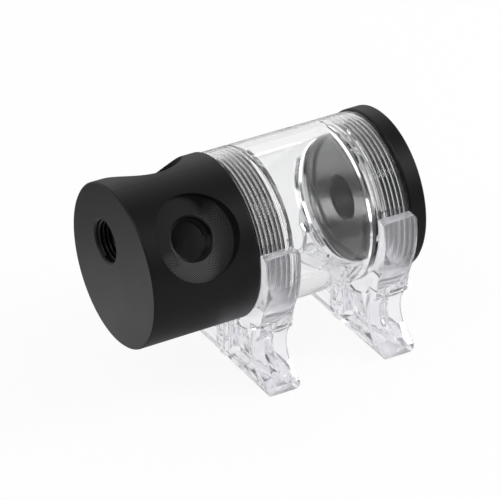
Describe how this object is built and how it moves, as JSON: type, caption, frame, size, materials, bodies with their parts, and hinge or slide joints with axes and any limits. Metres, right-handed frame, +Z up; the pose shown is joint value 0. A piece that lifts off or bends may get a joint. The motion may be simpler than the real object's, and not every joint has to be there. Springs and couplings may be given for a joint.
{
  "type": "water cooling reservoir",
  "caption": "Clear acrylic coolant reservoir with black screw-in caps, tapped ports and clear C-clip mounting brackets.",
  "frame": {"origin": "on the mounting plane, under the middle of the reservoir's length", "axes": "+X along the tube from the multi-port cap to the end cap, +Z up from the mounting plane to the tube"},
  "size_m": [0.0924, 0.0584, 0.0675],
  "materials": {
    "clear_tube": "polished clear acrylic",
    "black_cap": "satin turned acetal",
    "seal": "matt",
    "clear_bracket": "clear moulded plastic"
  },
  "bodies": {
    "rear_clip": {"rear_bracket": "clear_bracket"},
    "front_clip": {"front_bracket": "clear_bracket"},
    "tank": {"tank_tube": "clear_tube"},
    "multi_port_seal": {"multi_port_cap_oring": "seal"},
    "multi_port_head": {"multi_port_cap": "black_cap"},
    "end_seal": {"end_cap_oring": "seal"},
    "end_head": {"end_cap": "black_cap"}
  },
  "joints": [
    {"name": "front_bracket_slide", "type": "slide", "parent": "rear_clip", "child": "front_clip", "axis": [1, 0, 0], "range_m": [0, 0.0285]},
    {"name": "tank_turn", "type": "hinge", "parent": "rear_clip", "child": "tank", "pos_m": [0, 0, 0.042], "axis": [1, 0, 0], "continuous": true},
    {"name": "multi_port_cap_advance", "type": "slide", "parent": "tank", "child": "multi_port_seal", "axis": [-1, 0, 0], "range_m": [0, 0.0106]},
    {"name": "multi_port_cap_screw", "type": "hinge", "parent": "multi_port_seal", "child": "multi_port_head", "pos_m": [0, 0, 0.042], "axis": [-1, 0, 0], "range_deg": [0, 2520]},
    {"name": "end_cap_advance", "type": "slide", "parent": "tank", "child": "end_seal", "axis": [1, 0, 0], "range_m": [0, 0.0106]},
    {"name": "end_cap_screw", "type": "hinge", "parent": "end_seal", "child": "end_head", "pos_m": [0, 0, 0.042], "axis": [1, 0, 0], "range_deg": [0, 2520]}
  ],
  "couplings": [
    {"joint": "multi_port_cap_advance", "follows": "multi_port_cap_screw", "m_per_rad": 0.00023873},
    {"joint": "end_cap_advance", "follows": "end_cap_screw", "m_per_rad": 0.00023873}
  ]
}
